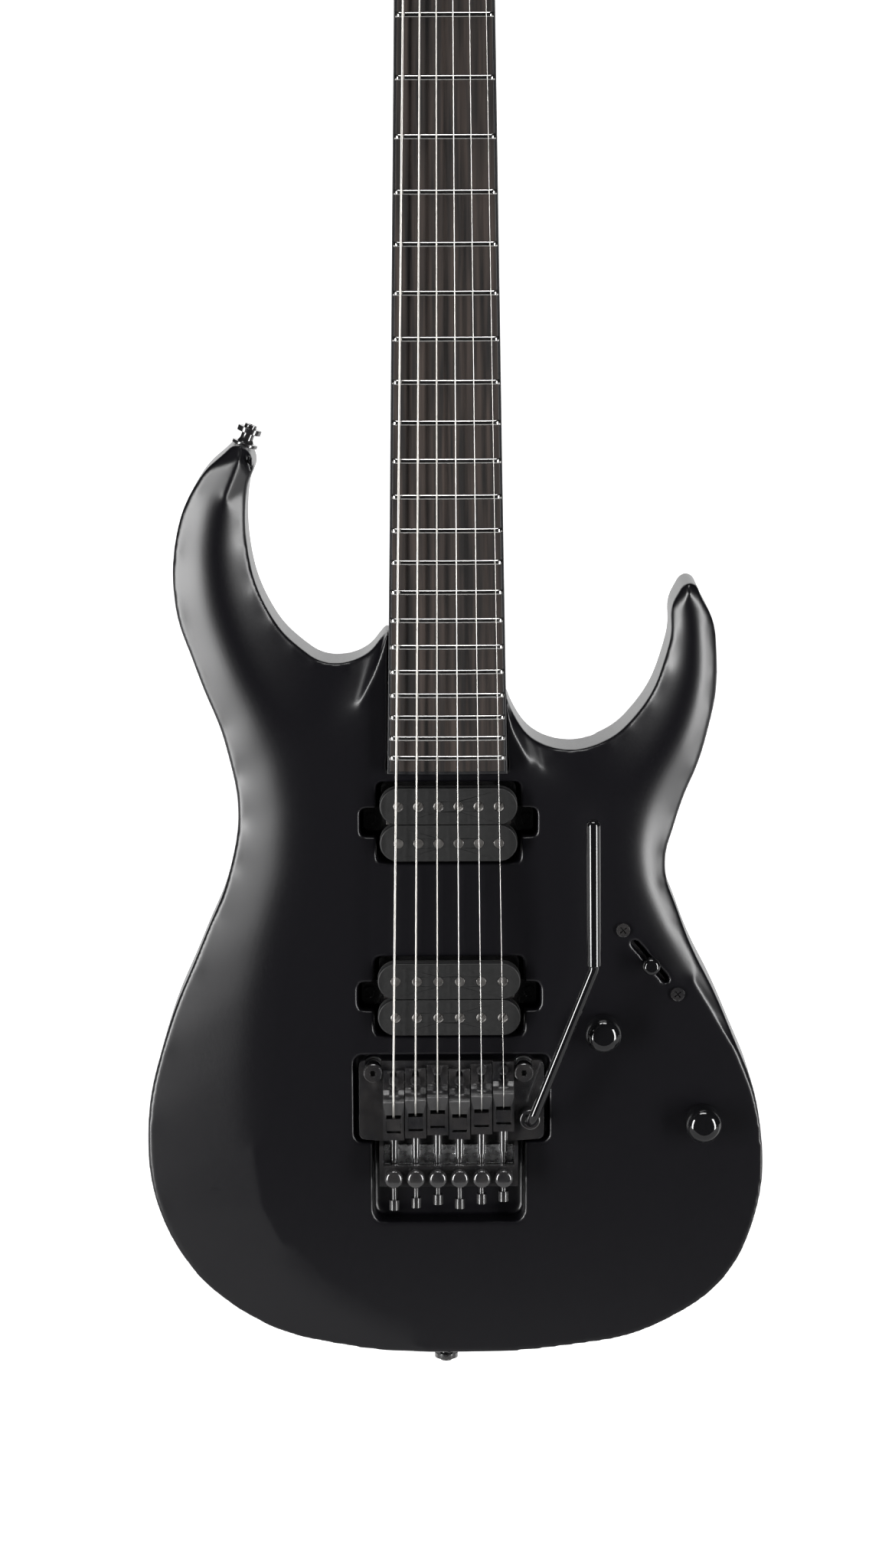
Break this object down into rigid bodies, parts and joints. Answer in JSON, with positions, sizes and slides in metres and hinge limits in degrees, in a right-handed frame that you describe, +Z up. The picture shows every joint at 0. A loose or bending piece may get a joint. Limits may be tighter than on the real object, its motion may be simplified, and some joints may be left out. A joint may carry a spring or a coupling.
{
  "type": "electric guitar",
  "caption": "Double-cutaway solid-body electric guitar with bolt-on neck, locking nut, recessed locking tremolo with arm, humbucking pickups, knobs and blade switch.",
  "frame": {"origin": "on the centre line at the nut line, in the plane of the body's top, where a wall hanger's yoke takes the headstock's neck end", "axes": "+Z up the neck towards the headstock, +X towards the treble side, front faces -Y"},
  "size_m": [0.3051, 0.0934, 1.0042],
  "materials": {
    "body_lacquer": "satin black lacquer",
    "neck_wood": "satin black lacquer over maple",
    "ebony": "oiled, dark, faint brown streaks",
    "binding": "black, satin",
    "fret_wire": "polished",
    "steel": "plain",
    "bright_steel": "polished",
    "black_steel": "satin black plating",
    "black_plastic": "satin",
    "knob_black": "polished black",
    "coil_tape": "black cloth tape over copper wire",
    "string_steel": "plain and wound"
  },
  "bodies": {
    "guitar": {"body": "body_lacquer", "neck": "neck_wood", "fretboard": "ebony", "fretboard_binding": "binding", "frets": "fret_wire", "truss_rod": "steel", "truss_rod_cover": "black_plastic", "locking_nut_base": "black_steel", "locking_nut_clamps": "black_steel", "locking_nut_bolts": "black_steel", "string_retainer": "black_steel", "tuner_housings": "black_steel", "tuner_bushings": "black_steel", "neck_fasteners": "black_steel", "strap_buttons": "black_steel", "pickup_bobbins": "black_plastic", "pickup_coils": "coil_tape", "pickup_baseplates": "black_steel", "pickup_poles": "steel", "potentiometers": "steel", "switch_frame": "steel", "output_jack": "black_steel", "spring_cover": "black_plastic", "control_cover": "black_plastic", "small_screws": "black_steel", "wood_screws": "black_steel", "spring_claw": "steel", "tremolo_studs": "black_steel", "stud_bushings": "steel", "tremolo_springs": "steel", "strings": "string_steel"},
    "tremolo": {"bridge_plate": "black_steel", "sustain_block": "steel", "saddles": "black_steel", "bridge_screws": "black_steel", "string_lock_screws": "black_steel", "fine_tuner_spring": "bright_steel", "arm_collar": "black_steel"},
    "arm": {"tremolo_arm": "black_steel"},
    "fine_tuner_1": {"fine_tuner_1": "black_steel"},
    "fine_tuner_2": {"fine_tuner_2": "black_steel"},
    "fine_tuner_3": {"fine_tuner_3": "black_steel"},
    "fine_tuner_4": {"fine_tuner_4": "black_steel"},
    "fine_tuner_5": {"fine_tuner_5": "black_steel"},
    "fine_tuner_6": {"fine_tuner_6": "black_steel"},
    "volume": {"volume_knob": "knob_black"},
    "tone": {"tone_knob": "knob_black"},
    "switch": {"switch_lever": "black_plastic"},
    "tuner_post_1": {"tuner_post_1": "black_steel"},
    "tuner_button_1": {"tuner_button_1": "black_steel"},
    "tuner_post_2": {"tuner_post_2": "black_steel"},
    "tuner_button_2": {"tuner_button_2": "black_steel"},
    "tuner_post_3": {"tuner_post_3": "black_steel"},
    "tuner_button_3": {"tuner_button_3": "black_steel"},
    "tuner_post_4": {"tuner_post_4": "black_steel"},
    "tuner_button_4": {"tuner_button_4": "black_steel"},
    "tuner_post_5": {"tuner_post_5": "black_steel"},
    "tuner_button_5": {"tuner_button_5": "black_steel"},
    "tuner_post_6": {"tuner_post_6": "black_steel"},
    "tuner_button_6": {"tuner_button_6": "black_steel"}
  },
  "joints": [
    {"name": "tremolo_pivot", "type": "hinge", "parent": "guitar", "child": "tremolo", "pos_m": [0, 0, -0.6473], "axis": [1, 0, 0], "range_deg": [-11, 7], "stiffness_Nm_per_rad": 20, "deforming": ["tremolo_springs", "strings"]},
    {"name": "arm_swing", "type": "hinge", "parent": "tremolo", "child": "arm", "pos_m": [0.04, 0, -0.667], "axis": [0, -1, 0], "range_deg": [-120, 45]},
    {"name": "fine_tuner_1_turn", "type": "hinge", "parent": "tremolo", "child": "fine_tuner_1", "pos_m": [-0.027, -0.012, -0.6947], "axis": [0, -1, 0], "range_deg": [-720, 720]},
    {"name": "fine_tuner_2_turn", "type": "hinge", "parent": "tremolo", "child": "fine_tuner_2", "pos_m": [-0.0162, -0.012, -0.6947], "axis": [0, -1, 0], "range_deg": [-720, 720]},
    {"name": "fine_tuner_3_turn", "type": "hinge", "parent": "tremolo", "child": "fine_tuner_3", "pos_m": [-0.0054, -0.012, -0.6947], "axis": [0, -1, 0], "range_deg": [-720, 720]},
    {"name": "fine_tuner_4_turn", "type": "hinge", "parent": "tremolo", "child": "fine_tuner_4", "pos_m": [0.0054, -0.012, -0.6947], "axis": [0, -1, 0], "range_deg": [-720, 720]},
    {"name": "fine_tuner_5_turn", "type": "hinge", "parent": "tremolo", "child": "fine_tuner_5", "pos_m": [0.0162, -0.012, -0.6947], "axis": [0, -1, 0], "range_deg": [-720, 720]},
    {"name": "fine_tuner_6_turn", "type": "hinge", "parent": "tremolo", "child": "fine_tuner_6", "pos_m": [0.027, -0.012, -0.6947], "axis": [0, -1, 0], "range_deg": [-720, 720]},
    {"name": "volume_turn", "type": "hinge", "parent": "guitar", "child": "volume", "pos_m": [0.076, -0.008, -0.6241], "axis": [0, -1, 0], "range_deg": [0, 300]},
    {"name": "tone_turn", "type": "hinge", "parent": "guitar", "child": "tone", "pos_m": [0.1254, -0.008, -0.6699], "axis": [0, -1, 0], "range_deg": [0, 300]},
    {"name": "pickup_switch", "type": "hinge", "parent": "guitar", "child": "switch", "pos_m": [0.0992, 0.02, -0.5894], "axis": [-0.7683, 0, -0.6401], "range_deg": [-22, 22]},
    {"name": "tuner_button_1_turn", "type": "hinge", "parent": "guitar", "child": "tuner_button_1", "pos_m": [-0.01983, 0.02405, 0.05465], "axis": [-0.9604, 0.0508, 0.274], "continuous": true},
    {"name": "tuner_post_1_turn", "type": "hinge", "parent": "guitar", "child": "tuner_post_1", "pos_m": [-0.0215, 0.023, 0.04898], "axis": [0, -0.9833, 0.1822], "continuous": true},
    {"name": "tuner_button_2_turn", "type": "hinge", "parent": "guitar", "child": "tuner_button_2", "pos_m": [-0.01243, 0.02869, 0.07972], "axis": [-0.9604, 0.0508, 0.274], "continuous": true},
    {"name": "tuner_post_2_turn", "type": "hinge", "parent": "guitar", "child": "tuner_post_2", "pos_m": [-0.0141, 0.02764, 0.07405], "axis": [0, -0.9833, 0.1822], "continuous": true},
    {"name": "tuner_button_3_turn", "type": "hinge", "parent": "guitar", "child": "tuner_button_3", "pos_m": [-0.00503, 0.03334, 0.10479], "axis": [-0.9604, 0.0508, 0.274], "continuous": true},
    {"name": "tuner_post_3_turn", "type": "hinge", "parent": "guitar", "child": "tuner_post_3", "pos_m": [-0.0067, 0.03229, 0.09913], "axis": [0, -0.9833, 0.1822], "continuous": true},
    {"name": "tuner_button_4_turn", "type": "hinge", "parent": "guitar", "child": "tuner_button_4", "pos_m": [0.00237, 0.03799, 0.12987], "axis": [-0.9604, 0.0508, 0.274], "continuous": true},
    {"name": "tuner_post_4_turn", "type": "hinge", "parent": "guitar", "child": "tuner_post_4", "pos_m": [0.0007, 0.03694, 0.1242], "axis": [0, -0.9833, 0.1822], "continuous": true},
    {"name": "tuner_button_5_turn", "type": "hinge", "parent": "guitar", "child": "tuner_button_5", "pos_m": [0.00977, 0.04263, 0.15494], "axis": [-0.9604, 0.0508, 0.274], "continuous": true},
    {"name": "tuner_post_5_turn", "type": "hinge", "parent": "guitar", "child": "tuner_post_5", "pos_m": [0.0081, 0.04158, 0.14927], "axis": [0, -0.9833, 0.1822], "continuous": true},
    {"name": "tuner_button_6_turn", "type": "hinge", "parent": "guitar", "child": "tuner_button_6", "pos_m": [0.01717, 0.04728, 0.18001], "axis": [-0.9604, 0.0508, 0.274], "continuous": true},
    {"name": "tuner_post_6_turn", "type": "hinge", "parent": "guitar", "child": "tuner_post_6", "pos_m": [0.0155, 0.04623, 0.17434], "axis": [0, -0.9833, 0.1822], "continuous": true}
  ],
  "couplings": [
    {"joint": "tuner_post_1_turn", "follows": "tuner_button_1_turn", "ratio": 0.0625},
    {"joint": "tuner_post_2_turn", "follows": "tuner_button_2_turn", "ratio": 0.0625},
    {"joint": "tuner_post_3_turn", "follows": "tuner_button_3_turn", "ratio": 0.0625},
    {"joint": "tuner_post_4_turn", "follows": "tuner_button_4_turn", "ratio": 0.0625},
    {"joint": "tuner_post_5_turn", "follows": "tuner_button_5_turn", "ratio": 0.0625},
    {"joint": "tuner_post_6_turn", "follows": "tuner_button_6_turn", "ratio": 0.0625}
  ]
}
